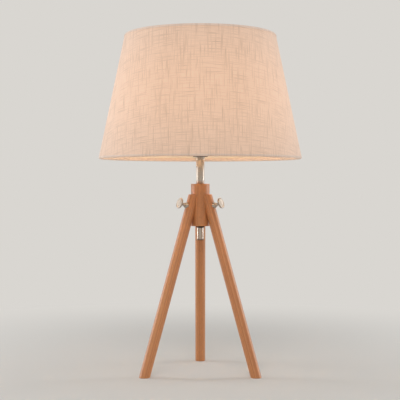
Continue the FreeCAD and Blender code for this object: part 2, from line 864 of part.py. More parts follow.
def makeBulb():
    # A pear-shaped glass globe with its screw cap, insulator, eyelet and the filament inside.
    turnedBody(
        "bulb_contact",
        [
            ("0", "contactTop"),
            ("eyeletDiameter / 4", "contactTop"),
            ("eyeletDiameter / 2", "insulatorBottom"),
            ("0", "insulatorBottom"),
        ],
    )
    cap = "capDiameter / 2"
    turnedBody(
        "bulb_insulator",
        [
            ("0", "insulatorBottom"),
            ("insulatorFoot / 2", "insulatorBottom"),
            (f"{cap} - capWall", "bulbCapBottom"),
            ("0", "bulbCapBottom"),
        ],
    )
    turnedBody(
        "bulb_cap",
        [
            (f"{cap} - capWall", "bulbCapBottom"),
            (cap, "bulbCapBottom"),
            (cap, "bulbCapTop"),
            (f"{cap} - capWall", "bulbCapTop"),
        ],
    )
    turnedBody(
        "bulb_globe",
        [
            ("neckInnerRadius", "bulbCapTop"),
            ("neckRadius", "bulbCapTop"),
            ("globeRadius * cos(globeTaper)", "globeShoulder"),
            ("globeRadius", "globeCentre", "globeRadius"),
            ("0", "globeCentre + globeRadius", "globeRadius"),
            ("0", "globeCentre + globeInnerRadius"),
            ("globeInnerRadius", "globeCentre", "0 - globeInnerRadius"),
            ("globeInnerRadius * cos(globeTaper)", "globeInnerShoulder", "0 - globeInnerRadius"),
        ],
    )
    turnedBody(
        "bulb_mount",
        [
            ("0", "bulbCapBottom"),
            (f"{cap} - capWall", "bulbCapBottom"),
            ("mountDiameter / 2", "bulbCapTop"),
            ("mountDiameter / 2", "mountTop"),
            ("0", "mountTop"),
        ],
    )
    for name, side in (("left", -1), ("right", 1)):
        lead = part(
            "Cylinder", f"bulb_lead_{name}", Radius="leadDiameter / 2", Height="leadHeight + leadDiameter"
        )
        place(
            keep(lead, lead.Name),
            x=f"{side} * ( mountDiameter / 2 - leadDiameter )",
            z="mountTop - leadDiameter",
        )
    filament = part(
        "Cylinder", "bulb_filament", Radius="filamentDiameter / 2", Height="filamentSpan"
    )
    place(keep(filament, "bulb_filament"), x="0 - filamentSpan / 2", z="leadTop", pitch="90")


for side, angle in legAngles.items():
    makeLeg(side, angle)
makeHub()
for side, angle in legAngles.items():
    makeInsert(side, angle)
    makeWasher(side, angle)
    makeThumbscrew(side, angle)
makeCentreTube()
makeLockNut()
makeSleeve()
makeStem()
makeHolder()
makeHolderCore()
makeTerminal("live", 1)
makeTerminal("neutral", -1)
makeShadeRing()
makeShade()
makeBulb()
doc.recompute()

for item in doc.Objects:
    if "Invalid" in item.State or "Error" in item.State:
        raise RuntimeError(f"{item.Label}: {item.State}")
for node in nodes:
    if node.Shape.isNull() or not node.Shape.isValid() or not node.Shape.Solids:
        raise RuntimeError(f"{node.Label} has no valid solid")

os.makedirs("parts", exist_ok=True)
for node in nodes:
    node.Shape.exportStep(f"parts/{node.Label}.step")
    print(f"{node.Label}: {len(node.Shape.Solids)} solid(s), {node.Shape.Volume:.1f} mm3")
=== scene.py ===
import json
import math

import bpy
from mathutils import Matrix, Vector

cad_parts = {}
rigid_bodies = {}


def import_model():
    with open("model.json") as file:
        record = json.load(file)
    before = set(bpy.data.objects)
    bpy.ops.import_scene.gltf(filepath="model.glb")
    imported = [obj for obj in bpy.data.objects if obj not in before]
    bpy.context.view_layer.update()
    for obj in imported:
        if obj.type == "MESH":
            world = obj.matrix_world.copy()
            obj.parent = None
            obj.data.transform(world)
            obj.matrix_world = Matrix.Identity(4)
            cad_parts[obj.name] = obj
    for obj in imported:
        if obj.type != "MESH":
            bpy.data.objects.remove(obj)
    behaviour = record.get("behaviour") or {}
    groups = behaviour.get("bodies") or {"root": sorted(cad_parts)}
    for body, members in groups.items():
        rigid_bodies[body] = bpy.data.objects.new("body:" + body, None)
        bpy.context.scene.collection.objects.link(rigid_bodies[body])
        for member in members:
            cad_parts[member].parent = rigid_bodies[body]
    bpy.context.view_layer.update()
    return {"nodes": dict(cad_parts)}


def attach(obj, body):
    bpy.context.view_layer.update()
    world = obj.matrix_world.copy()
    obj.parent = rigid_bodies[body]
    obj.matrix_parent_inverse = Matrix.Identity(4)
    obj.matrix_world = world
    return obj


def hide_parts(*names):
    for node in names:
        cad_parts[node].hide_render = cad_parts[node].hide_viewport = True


# An empty scene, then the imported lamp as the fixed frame
bpy.ops.object.select_all(action="SELECT")
bpy.ops.object.delete()
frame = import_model()
nodes = frame["nodes"]

mm = 0.001
wavePeriod = 0.314  # metres from crest to crest of a Wave texture at scale 1
legTilt = math.radians(17.3)  # each leg's lean from upright
legAngles = {"front_left": 210, "front_right": 330, "rear": 90}  # degrees round the lamp from +X

# The shade's straight wall, in mm: everything on it is drawn in from this cone
wall = {"bottom": 367.0, "top": 580.0, "bottomRadius": 175.0, "topRadius": 130.0}
wallSlope = (wall["bottomRadius"] - wall["topRadius"]) / (wall["top"] - wall["bottom"])
wallSine = math.sin(math.atan(wallSlope))
wallCosine = math.cos(math.atan(wallSlope))


def wallRadius(inset, level):
    # The cone's radius at a level, drawn in by an inset, all in mm
    return wall["bottomRadius"] - inset - (level - wall["bottom"]) * wallSlope


def only(piece):
    # Selects one piece and nothing else, in object mode
    if bpy.context.object and bpy.context.object.mode != "OBJECT":
        bpy.ops.object.mode_set(mode="OBJECT")
    bpy.ops.object.select_all(action="DESELECT")
    piece.select_set(True)
    bpy.context.view_layer.objects.active = piece


def named(name):
    piece = bpy.context.object
    piece.name = name
    piece.data.name = name
    return piece


def settle(piece, place=(0, 0, 0), turn=(0, 0, 0)):
    # Moves a piece from the origin to its place, and puts that place into its mesh
    only(piece)
    piece.location = place
    piece.rotation_euler = turn
    bpy.ops.object.transform_apply(location=True, rotation=True, scale=True)


def turned(name, profile, steps=96):
    # A turned piece: one point is drawn out along the profile (radius, height in mm) and spun once
    bpy.ops.object.select_all(action="DESELECT")
    bpy.ops.mesh.primitive_plane_add(size=mm, location=(profile[0][0] * mm, 0, profile[0][1] * mm))
    piece = named(name)
    bpy.ops.object.transform_apply(location=True, rotation=True, scale=True)
    bpy.ops.object.mode_set(mode="EDIT")
    bpy.ops.mesh.select_all(action="SELECT")
    bpy.ops.mesh.merge(type="CENTER")
    for (radius, height), (nextRadius, nextHeight) in zip(profile, profile[1:]):
        step = ((nextRadius - radius) * mm, 0, (nextHeight - height) * mm)
        bpy.ops.mesh.extrude_vertices_move(TRANSFORM_OT_translate={"value": step})
    bpy.ops.mesh.select_all(action="SELECT")
    bpy.ops.mesh.spin(steps=steps, angle=2 * math.pi, center=(0, 0, 0), axis=(0, 0, 1))
    bpy.ops.mesh.select_all(action="SELECT")
    bpy.ops.mesh.remove_doubles(threshold=2e-6)  # closes the seam and the poles
    bpy.ops.mesh.normals_make_consistent(inside=False)
    bpy.ops.object.mode_set(mode="OBJECT")
    return piece


def arc(centreRadius, centreHeight, radius, start, end, count=8):
    # Points of an arc in a profile, angles in degrees from the outward direction
    turns = [math.radians(start + (end - start) * i / count) for i in range(count + 1)]
    return [
        (centreRadius + radius * math.cos(a), centreHeight + radius * math.sin(a)) for a in turns
    ]


def easeEdges(piece, width, segments=2, angle=30):
    # Rounds every edge sharper than the angle, as a maker's hand or tool leaves it
    only(piece)
    bevel = piece.modifiers.new("easedEdges", "BEVEL")
    bevel.width = width * mm
    bevel.segments = segments
    bevel.limit_method = "ANGLE"
    bevel.angle_limit = math.radians(angle)
    bevel.harden_normals = False
    bpy.ops.object.modifier_apply(modifier="easedEdges")


def fit(piece, body, material, replaced=(), smoothAngle=35):
    # Finishes a piece: smooth faces, its material, its body, and the CAD nodes that it stands for
    only(piece)
    bpy.ops.object.shade_smooth_by_angle(angle=math.radians(smoothAngle))
    piece.data.materials.clear()
    piece.data.materials.append(material)
    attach(piece, body)
    if replaced:
        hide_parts(*replaced)
    return piece


def paint(material, *names):
    # Gives CAD nodes that stay as they are their material
    for name in names:
        mesh = nodes[name].data
        mesh.materials.clear()
        mesh.materials.append(material)


def linear(hexColour):
    # An sRGB hex value as the linear colour that a shader takes
    parts = [int(hexColour[i : i + 2], 16) / 255 for i in (1, 3, 5)]
    bent = [c / 12.92 if c <= 0.04045 else ((c + 0.055) / 1.055) ** 2.4 for c in parts]
    return (*bent, 1.0)


def addNode(tree, kind, settings=None, links=None):
    # Settings are the node's inputs or properties, and links lead other nodes' outputs into inputs
    node = tree.nodes.new(kind)
    for name, value in (settings or {}).items():
        if isinstance(name, int) or name in node.inputs:
            node.inputs[name].default_value = value
        else:
            setattr(node, name, value)
    for name, source in (links or {}).items():
        tree.links.new(source, node.inputs[name])
    return node


def startMaterial(name, finish):
    material = bpy.data.materials.new(name)
    material.use_nodes = True
    tree = material.node_tree
    tree.nodes.clear()
    surface = addNode(tree, "ShaderNodeBsdfPrincipled", finish)
    addNode(tree, "ShaderNodeOutputMaterial", links={"Surface": surface.outputs[0]})
    return material, tree, surface


# Beech: pale pinkish brown with faint straight growth lines, small dark ray flecks, and a satin
# lacquer that gives long soft highlights
beech = {
    "light": "#d3915c",
    "dark": "#b67142",
    "fleck": "#814b2b",
    "ringSpacing": 2.6,  # mm between growth lines
    "ringWander": 3.5,
    "alongShare": 0.05,  # how much the lines change along the grain, against across it
    "cloudScale": 55.0,  # soft patches about 18 mm wide
    "cloudShare": 0.68,  # patches against growth lines
    "fleckWidth": 0.7,  # mm; real flecks are 0.3 mm, drawn coarser so that they show
    "fleckLength": 7.0,
    "fleckDepth": 0.45,
    "lacquer": {"Coat Weight": 0.25, "Coat Roughness": 0.3},
}


def makeBeech(name, place, turn, heart):
    # The grain runs along the piece's own axis, and heart is how far off the tree's middle lay
    material, tree, surface = startMaterial(name, beech["lacquer"])
    where = addNode(tree, "ShaderNodeTexCoord")
    along = addNode(
        tree,
        "ShaderNodeMapping",
        {"vector_type": "TEXTURE", "Location": place, "Rotation": turn},
        {"Vector": where.outputs["Object"]},
    )
    fromHeart = addNode(
        tree, "ShaderNodeVectorMath", {"operation": "ADD", 1: heart}, {0: along.outputs[0]}
    )
    drawnOut = addNode(
        tree,
        "ShaderNodeVectorMath",
        {"operation": "MULTIPLY", 1: (1, 1, beech["alongShare"])},
        {0: fromHeart.outputs[0]},
    )
    rings = addNode(
        tree,
        "ShaderNodeTexWave",
        {
            "wave_type": "RINGS",
            "rings_direction": "Z",
            "Scale": wavePeriod / (beech["ringSpacing"] * mm),
            "Distortion": beech["ringWander"],
            "Detail": 3.0,
            "Detail Scale": 0.35,
        },
        {"Vector": drawnOut.outputs[0]},
    )
    clouds = addNode(
        tree,
        "ShaderNodeTexNoise",
        {"Scale": beech["cloudScale"], "Detail": 3.0},
        {"Vector": drawnOut.outputs[0]},
    )
    fleckAcross = 1 / (beech["fleckWidth"] * mm)
    fleckAlong = 1 / (beech["fleckLength"] * mm)
    fleckPlace = addNode(
        tree,
        "ShaderNodeVectorMath",
        {"operation": "MULTIPLY", 1: (fleckAcross, fleckAcross, fleckAlong)},
        {0: fromHeart.outputs[0]},
    )
    fleckNoise = addNode(
        tree,
        "ShaderNodeTexNoise",
        {"Scale": 1.0, "Detail": 1.0},
        {"Vector": fleckPlace.outputs[0]},
    )
    flecks = addNode(
        tree,
        "ShaderNodeMapRange",
        {"From Min": 0.60, "From Max": 0.74, "To Min": 0.0, "To Max": beech["fleckDepth"]},
        {"Value": fleckNoise.outputs[0]},
    )
    growth = addNode(
        tree,
        "ShaderNodeMix",
        {"Factor": beech["cloudShare"]},
        {2: rings.outputs["Fac"], 3: clouds.outputs[0]},
    )
    growthEven = addNode(
        tree,
        "ShaderNodeMapRange",
        {"From Min": 0.2, "From Max": 0.8, "To Min": 0.0, "To Max": 1.0},
        {"Value": growth.outputs[0]},
    )
    wood = addNode(
        tree,
        "ShaderNodeMix",
        {"data_type": "RGBA", 6: linear(beech["light"]), 7: linear(beech["dark"])},
        {0: growthEven.outputs[0]},
    )
    flecked = addNode(
        tree,
        "ShaderNodeMix",
        {"data_type": "RGBA", 7: linear(beech["fleck"])},
        {0: flecks.outputs[0], 6: wood.outputs[2]},
    )
    pores = addNode(
        tree,
        "ShaderNodeBump",
        {"Strength": 0.25, "Distance": 0.0002, "invert": True},
        {"Height": flecks.outputs[0]},
    )
    sheen = addNode(
        tree,
        "ShaderNodeMapRange",
        {"From Min": 0.3, "From Max": 0.7, "To Min": 0.36, "To Max": 0.5},
        {"Value": clouds.outputs[0]},
    )
    tree.links.new(flecked.outputs[2], surface.inputs["Base Color"])
    tree.links.new(pores.outputs[0], surface.inputs["Normal"])
    tree.links.new(sheen.outputs[0], surface.inputs["Roughness"])
    return material


# Satin nickel: warm grey plating over turned metal, with fine rings left by the lathe that
# stretch its highlights
nickel = {
    "light": "#cdbfb0",
    "dark": "#a6978a",
    "ringSpacing": 0.5,  # mm; real rings lie closer, drawn coarser so that they show
    "patchScale": 140.0,  # patches of handling about 7 mm wide
    "cleaner": 0.06,  # how much smoother than its roughness a clean patch is
    "duller": 0.08,
}


def makeNickel(name, place=(0, 0, 0), turn=(0, 0, 0), roughness=0.3):
    material, tree, surface = startMaterial(name, {"Metallic": 1.0})
    where = addNode(tree, "ShaderNodeTexCoord")
    along = addNode(
        tree,
        "ShaderNodeMapping",
        {"vector_type": "TEXTURE", "Location": place, "Rotation": turn},
        {"Vector": where.outputs["Object"]},
    )
    parts = addNode(tree, "ShaderNodeSeparateXYZ", links={0: along.outputs[0]})
    acrossOnly = addNode(
        tree,
        "ShaderNodeVectorMath",
        {"operation": "MULTIPLY", 1: (1, 1, 0)},
        {0: along.outputs[0]},
    )
    outward = addNode(
        tree, "ShaderNodeVectorMath", {"operation": "LENGTH"}, {0: acrossOnly.outputs[0]}
    )
    ringPlace = addNode(
        tree,
        "ShaderNodeCombineXYZ",
        links={"X": outward.outputs["Value"], "Z": parts.outputs["Z"]},
    )
    rings = addNode(
        tree,
        "ShaderNodeTexNoise",
        {"Scale": 1 / (nickel["ringSpacing"] * mm), "Detail": 2.0},
        {"Vector": ringPlace.outputs[0]},
    )
    handling = addNode(
        tree,
        "ShaderNodeTexNoise",
        {"Scale": nickel["patchScale"], "Detail": 3.0},
        {"Vector": along.outputs[0]},
    )
    plating = addNode(
        tree,
        "ShaderNodeMix",
        {"data_type": "RGBA", 6: linear(nickel["dark"]), 7: linear(nickel["light"])},
        {0: rings.outputs[0]},
    )
    worn = addNode(
        tree,
        "ShaderNodeMapRange",
        {
            "From Min": 0.3,
            "From Max": 0.7,
            "To Min": roughness - nickel["cleaner"],
            "To Max": roughness + nickel["duller"],
        },
        {"Value": handling.outputs[0]},
    )
    turning = addNode(
        tree,
        "ShaderNodeBump",
        {"Strength": 0.12, "Distance": 0.0001},
        {"Height": rings.outputs[0]},
    )
    tree.links.new(plating.outputs[2], surface.inputs["Base Color"])
    tree.links.new(worn.outputs[0], surface.inputs["Roughness"])
    tree.links.new(turning.outputs[0], surface.inputs["Normal"])
    return material


# Natural linen laid on a film: uneven threads show as slubs both ways. The bulb's light through
# the cloth is painted into it as a glow, strongest level with the bulb and fading to both rims,
# with the slubs painted dark against it
linen = {
    "light": "#dac6b7",
    "dark": "#c0ab9b",
    "hemLight": "#e2d0c3",
    "hemDark": "#cbb8a9",
    "glow": "#ffb87c",
    "glowStrength": 0.37,
    "glowLevel": 480.0,  # mm above the floor
    "glowReach": 150.0,  # mm over which it halves
    "weftLength": 42.0,  # mm, slubs round the shade
    "weftWidth": 1.5,
    "warpLength": 36.0,  # mm, slubs up the shade
    "warpWidth": 2.1,
    "slubFrom": 0.48,  # the noise value where a slub begins, and where it is full
    "slubTo": 0.78,
    "threadSpacing": 1.3,  # mm; the real threads lie 0.8 mm apart, drawn coarser so that they show
    "threadShare": 0.3,  # threads against slubs
    "shadowed": 0.66,  # the light that passes a slub
}


def makeLinen(name, light, dark, glowShare=1.0):
    material, tree, surface = startMaterial(
        name,
        {
            "Roughness": 0.9,
            "Specular IOR Level": 0.2,
            "Sheen Weight": 0.25,
            "Sheen Roughness": 0.5,
            "Emission Strength": linen["glowStrength"] * glowShare,
        },
    )
    flat = addNode(tree, "ShaderNodeUVMap", {"uv_map": "cloth"})
    slubs = []
    for across, up, seed in (
        (linen["weftLength"], linen["weftWidth"], 0.0),
        (linen["warpWidth"], linen["warpLength"], 7.3),
    ):
        stretched = addNode(
            tree,
            "ShaderNodeMapping",
            {
                "Location": (seed, seed, seed),
                "Scale": (1 / (across * mm), 1 / (up * mm), 1.0),
            },
            {"Vector": flat.outputs[0]},
        )
        slubs.append(
            addNode(
                tree,
                "ShaderNodeTexNoise",
                {"Scale": 1.0, "Detail": 3.0, "Roughness": 0.6},
                {"Vector": stretched.outputs[0]},
            )
        )
    threads = []
    for direction in ("X", "Y"):
        threads.append(
            addNode(
                tree,
                "ShaderNodeTexWave",
                {
                    "wave_type": "BANDS",
                    "bands_direction": direction,
                    "Scale": wavePeriod / (linen["threadSpacing"] * mm),
                    "Distortion": 0.8,
                    "Detail": 2.0,
                    "Detail Scale": 2.0,
                },
                {"Vector": flat.outputs[0]},
            )
        )
    thick = addNode(
        tree,
        "ShaderNodeMath",
        {"operation": "MAXIMUM"},
        {0: slubs[0].outputs[0], 1: slubs[1].outputs[0]},
    )
    slub = addNode(
        tree,
        "ShaderNodeMapRange",
        {"From Min": linen["slubFrom"], "From Max": linen["slubTo"], "To Min": 0.0, "To Max": 1.0},
        {"Value": thick.outputs[0]},
    )
    crossing = addNode(
        tree,
        "ShaderNodeMath",
        {"operation": "MULTIPLY"},
        {0: threads[0].outputs["Fac"], 1: threads[1].outputs["Fac"]},
    )
    cloth = addNode(
        tree,
        "ShaderNodeMath",
        {"operation": "MULTIPLY_ADD", 1: linen["threadShare"]},
        {0: crossing.outputs[0], 2: slub.outputs[0]},
    )
    colour = addNode(
        tree,
        "ShaderNodeMix",
        {"data_type": "RGBA", "clamp_factor": True, 6: linear(light), 7: linear(dark)},
        {0: cloth.outputs[0]},
    )
    # Painted light: the bulb's glow through the cloth, set by height alone and dimmed where slubs
    # lie
    where = addNode(tree, "ShaderNodeTexCoord")
    level = addNode(tree, "ShaderNodeSeparateXYZ", links={0: where.outputs["Object"]})
    away = addNode(
        tree,
        "ShaderNodeMath",
        {"operation": "SUBTRACT", 1: linen["glowLevel"] * mm},
        {0: level.outputs["Z"]},
    )
    scaled = addNode(
        tree,
        "ShaderNodeMath",
        {"operation": "DIVIDE", 1: linen["glowReach"] * mm},
        {0: away.outputs[0]},
    )
    squared = addNode(
        tree, "ShaderNodeMath", {"operation": "POWER", 1: 2.0}, {0: scaled.outputs[0]}
    )
    reach = addNode(tree, "ShaderNodeMath", {"operation": "ADD", 1: 1.0}, {0: squared.outputs[0]})
    falling = addNode(
        tree, "ShaderNodeMath", {"operation": "DIVIDE", 0: 1.0}, {1: reach.outputs[0]}
    )
    held = addNode(
        tree,
        "ShaderNodeMapRange",
        {"From Min": 0.0, "From Max": 1.0, "To Min": 1.0, "To Max": linen["shadowed"]},
        {"Value": cloth.outputs[0]},
    )
    lit = addNode(
        tree,
        "ShaderNodeMath",
        {"operation": "MULTIPLY"},
        {0: falling.outputs[0], 1: held.outputs[0]},
    )
    glow = addNode(
        tree,
        "ShaderNodeMix",
        {"data_type": "RGBA", 6: (0, 0, 0, 1), 7: linear(linen["glow"])},
        {0: lit.outputs[0]},
    )
    weave = addNode(
        tree, "ShaderNodeBump", {"Strength": 0.3, "Distance": 0.0003}, {"Height": cloth.outputs[0]}
    )
    tree.links.new(colour.outputs[2], surface.inputs["Base Color"])
    tree.links.new(glow.outputs[2], surface.inputs["Emission Color"])
    tree.links.new(weave.outputs[0], surface.inputs["Normal"])
    return material


def makeCoated(name, finish, light, dark, grain, strength=0.1, spread=0.06):
    # A moulded, coated or rolled surface: two close colours in soft clouds about 17 mm wide, an
    # uneven gloss that varies by the spread, and a grain of the size given in mm
    material, tree, surface = startMaterial(name, finish)
    where = addNode(tree, "ShaderNodeTexCoord")
    clouds = addNode(
        tree,
        "ShaderNodeTexNoise",
        {"Scale": 60.0, "Detail": 4.0},
        {"Vector": where.outputs["Object"]},
    )
    texture = addNode(
        tree,
        "ShaderNodeTexNoise",
        {"Scale": 1 / (grain * mm), "Detail": 2.0},
        {"Vector": where.outputs["Object"]},
    )
    colour = addNode(
        tree,
        "ShaderNodeMix",
        {"data_type": "RGBA", 6: linear(light), 7: linear(dark)},
        {0: clouds.outputs[0]},
    )
    gloss = addNode(
        tree,
        "ShaderNodeMapRange",
        {
            "From Min": 0.3,
            "From Max": 0.7,
            "To Min": finish["Roughness"] - spread,
            "To Max": finish["Roughness"] + spread,
        },
        {"Value": clouds.outputs[0]},
    )
    bumps = addNode(
        tree,
        "ShaderNodeBump",
        {"Strength": strength, "Distance": 0.0001},
        {"Height": texture.outputs[0]},
    )
    tree.links.new(colour.outputs[2], surface.inputs["Base Color"])
    tree.links.new(gloss.outputs[0], surface.inputs["Roughness"])
    tree.links.new(bumps.outputs[0], surface.inputs["Normal"])
    return material


# Black phenolic moulding: near black, fine moulded grain, soft broad highlight
phenolic = makeCoated("mouldedPhenolic", {"Roughness": 0.46}, "#23201e", "#171513", 0.5, 0.12)
# White powder coat on the shade's wires: warm white, slightly pebbled, satin
powderCoat = makeCoated("powderCoatedSteel", {"Roughness": 0.45}, "#efe9df", "#e2dbcf", 0.7, 0.2)
# Blackened steel of the nut: dark brown-grey, dull
blackened = makeCoated(
    "blackenedSteel", {"Metallic": 1.0, "Roughness": 0.5}, "#3a3532", "#2a2624", 0.4, 0.1
)
# Zinc plate: cool grey, a little cloudy
zinc = makeCoated(
    "zincPlatedSteel", {"Metallic": 1.0, "Roughness": 0.36}, "#c9cbcd", "#a9adb2", 0.5
)
# Bare brass of the inserts and contacts: yellow, slightly dulled
brass = makeCoated("turnedBrass", {"Metallic": 1.0, "Roughness": 0.33}, "#dcb56a", "#bf9248", 0.5)
# Rolled aluminium of the bulb's cap: pale grey with a soft shine
rolledAluminium = makeCoated(
    "rolledAluminium", {"Metallic": 1.0, "Roughness": 0.34}, "#d6d7d8", "#b9bbbe", 0.4
)
# Black vitreous insulation at the cap's end: glossy, almost black
vitrite = makeCoated("vitreousInsulation", {"Roughness": 0.2}, "#1d1d22", "#111114", 0.8, 0.05)
# Drawn wire inside the bulb: thin grey metal
drawnWire = makeCoated("drawnWire", {"Metallic": 1.0, "Roughness": 0.4}, "#aaa7a2", "#8d8a86", 0.3)
# Film that the linen is laid on: milky and smooth, with a painted warm tint that stands for the
# bulb's light
shadeFilm = makeCoated(
    "milkyFilm", {"Roughness": 0.5, "Specular IOR Level": 0.3}, "#f6eee2", "#ece2d4", 1.5, 0.08
)
# Opal glass: an even warm white light under a glossy skin
opalGlass = makeCoated(
    "opalGlass",
    {
        "Roughness": 0.2,
        "Coat Weight": 0.6,
        "Coat Roughness": 0.08,
        "Emission Color": linear("#ffdbb2"),
        "Emission Strength": 14.0,
    },
    "#fbf3e6",
    "#f4ead9",
    1.2,
    0.02,
)
# Glowing wire of the filament, seen only where the globe is cut open
hotFilament = makeCoated(
    "hotFilament",
    {"Roughness": 0.5, "Emission Color": linear("#ffb765"), "Emission Strength": 3.0},
    "#e8c088",
    "#d9a866",
    0.4,
)
turnedNickel = makeNickel("satinNickel")
clothLinen = makeLinen("naturalLinen", linen["light"], linen["dark"])
# Folded double over the wire, the same linen gets half the painted glow and looks paler outside
hemLinen = makeLinen("foldedLinen", linen["hemLight"], linen["hemDark"], 0.5)
print("materials made")

# Wood: the CAD's dowels and hub keep their shape and get their grain, each cut from another place
# in the tree
dowel = {
    "footRadius": 107.96,  # mm from the lamp's axis to the middle of a foot
    "hearts": {  # metres from the tree's middle
        "front_left": (0.05, 0.022, 2.0),
        "front_right": (-0.043, 0.03, 2.2),
        "rear": (0.03, -0.05, 0.8),
    },
}
hub = {"heart": (0.028, 0.034, 0.1)}
for side, angle in legAngles.items():
    turn = math.radians(angle)
    foot = (
        dowel["footRadius"] * mm * math.cos(turn),
        dowel["footRadius"] * mm * math.sin(turn),
        0,
    )
    grain = makeBeech(f"beechDowel_{side}", foot, (0, -legTilt, turn), dowel["hearts"][side])
    paint(grain, f"leg_{side}")
paint(makeBeech("beechHub", (0, 0, 0), (0, 0, 0), hub["heart"]), "hub")
print("wood grained")

# Metal stem; sizes are in mm from here on, and bore and the like are radii
stem = {"radius": 7.0, "bore": 6.0, "bottom": 324.5, "top": 366.0, "edge": 0.35}
piece = turned(
    "stemTube",
    [
        (stem["bore"], stem["bottom"]),
        (stem["radius"], stem["bottom"]),
        (stem["radius"], stem["top"]),
        (stem["bore"], stem["top"]),
        (stem["bore"], stem["bottom"]),
    ],
)
easeEdges(piece, stem["edge"])
fit(piece, "stand", turnedNickel, ["stem_tube"])

collar = {
    "radius": 7.75,
    "bore": 5.05,
    "bottom": 366.0,
    "top": 371.0,
    "groove": 0.35,  # depth of the groove round its middle
    "grooveMouth": 0.6,  # half its width outside, and at its bottom
    "grooveBed": 0.25,
    "edge": 0.25,
}
middle = (collar["bottom"] + collar["top"]) / 2
grooved = collar["radius"] - collar["groove"]
piece = turned(
    "stemCollar",
    [
        (collar["bore"], collar["bottom"]),
        (collar["radius"], collar["bottom"]),
        (collar["radius"], middle - collar["grooveMouth"]),
        (grooved, middle - collar["grooveBed"]),
        (grooved, middle + collar["grooveBed"]),
        (collar["radius"], middle + collar["grooveMouth"]),
        (collar["radius"], collar["top"]),
        (collar["bore"], collar["top"]),
        (collar["bore"], collar["bottom"]),
    ],
)
easeEdges(piece, collar["edge"])
fit(piece, "stand", turnedNickel, ["stem_collar"])

sleeve = {"radius": 5.8, "bore": 5.05, "bottom": 228.6, "top": 249.4, "edge": 0.15}
piece = turned(
    "lowerSleeve",
    [
        (sleeve["bore"], sleeve["bottom"]),
        (sleeve["radius"] - 0.35, sleeve["bottom"]),
        (sleeve["radius"], sleeve["bottom"] + 0.5),
        (sleeve["radius"], sleeve["top"] - 0.4),
        (sleeve["radius"] - 0.3, sleeve["top"]),
        (sleeve["bore"], sleeve["top"]),
        (sleeve["bore"], sleeve["bottom"]),
    ],
)
easeEdges(piece, sleeve["edge"], angle=20)
fit(piece, "stand", turnedNickel, ["lower_sleeve"])

bushing = {
    "bore": 3.4,
    "plug": 5.0,
    "lip": 5.8,
    "lipBottom": 227.8,
    "seat": 228.6,
    "top": 235.6,
    "mouth": 0.5,  # rounding where the cord leaves
    "lipEdge": 0.4,
}
mouth = bushing["mouth"]
lipEdge = bushing["lipEdge"]
piece = turned(
    "cordBushing",
    [
        (bushing["bore"], bushing["lipBottom"] + mouth),
        *arc(bushing["bore"] + mouth, bushing["lipBottom"] + mouth, mouth, 180, 270, 4)[1:],
        *arc(bushing["lip"] - lipEdge, bushing["lipBottom"] + lipEdge, lipEdge, 270, 360, 4),
        (bushing["lip"], bushing["seat"]),
        (bushing["plug"], bushing["seat"]),
        (bushing["plug"], bushing["top"]),
        (bushing["bore"], bushing["top"]),
        (bushing["bore"], bushing["lipBottom"] + mouth),
    ],
    64,
)
fit(piece, "stand", phenolic, ["cord_bushing"])

# The lock nut: a hexagon whose corners are turned off, bored for the tube
nut = {
    "across": 14.0,  # from flat to flat
    "bottom": 249.4,
    "top": 252.0,
    "bore": 5.05,
    "turn": 24.0,  # degrees from +X to its first corner
    "cornerCut": 0.85,  # how far in and how high the turned corners reach
    "cornerHeight": 0.55,
    "edge": 0.12,
}
corner = nut["across"] / math.sqrt(3)
half = (nut["top"] - nut["bottom"]) / 2
bpy.ops.object.select_all(action="DESELECT")
bpy.ops.mesh.primitive_cylinder_add(
    vertices=6, radius=corner * mm, depth=2 * half * mm, location=(0, 0, 0)
)
piece = named("lockNut")
settle(piece, (0, 0, (nut["bottom"] + half) * mm), (0, 0, math.radians(nut["turn"] - 30)))
for toolName, operation, profile in (
    (
        "nutTurning",
        "INTERSECT",
        [
            (0, nut["bottom"] - 0.01),
            (corner - nut["cornerCut"], nut["bottom"] - 0.01),
            (corner + 0.05, nut["bottom"] + nut["cornerHeight"]),
            (corner + 0.05, nut["top"] + 0.01),
            (0, nut["top"] + 0.01),
        ],
    ),
    (
        "nutBore",
        "DIFFERENCE",
        [
            (0, nut["bottom"] - 1),
            (nut["bore"], nut["bottom"] - 1),
            (nut["bore"], nut["top"] + 1),
            (0, nut["top"] + 1),
        ],
    ),
):
    tool = turned(toolName, profile, 72)
    only(piece)
    cut = piece.modifiers.new(toolName, "BOOLEAN")
    cut.operation = operation
    cut.object = tool
    bpy.ops.object.modifier_apply(modifier=toolName)
    bpy.data.objects.remove(tool)
easeEdges(piece, nut["edge"], 1)
fit(piece, "stand", blackened, ["lock_nut"], 25)
print("stem and sleeve made")

# Thumbscrews, measured along their own axes from where they cross the dowel's axis
thumb = {
    "level": 285.0,
    "radiusOut": 19.196,  # from the lamp's axis to the crossing
    "tip": -12.9,
    "shank": 2.5,
    "thread": 0.36,  # its depth
    "pitch": 0.8,
    "washerTop": 12.2,
    "shoulder": 3.4,
    "collarHeight": 1.4,
    "neck": 2.3,
    "neckSteps": 12,
    "shoulderFlare": 0.75,
    "headFlare": 1.9,
    "headBack": 20.6,
    "headFace": 24.2,
    "head": 9.25,
    "rim": 1.6,  # its rounding
    "rimWidth": 2.2,
    "dish": 0.7,
}
threadRoot = thumb["shank"] - thumb["thread"]
profile = [(0, thumb["tip"]), (threadRoot, thumb["tip"])]
level = thumb["tip"] + 0.3
while level < thumb["washerTop"] - 2:
    profile += [
        (thumb["shank"], level + 0.4 * thumb["pitch"]),
        (threadRoot, level + 0.9 * thumb["pitch"]),
    ]
    level += thumb["pitch"]
top = thumb["washerTop"]
profile += [
    (thumb["shank"], level + 0.2),
    (thumb["shank"], top),
    (thumb["shoulder"] - 0.3, top),
    (thumb["shoulder"], top + 0.3),
    (thumb["shoulder"], top + 1.0),
    (thumb["shoulder"] - 0.35, top + thumb["collarHeight"]),
]
neckLength = thumb["headBack"] - top - thumb["collarHeight"]
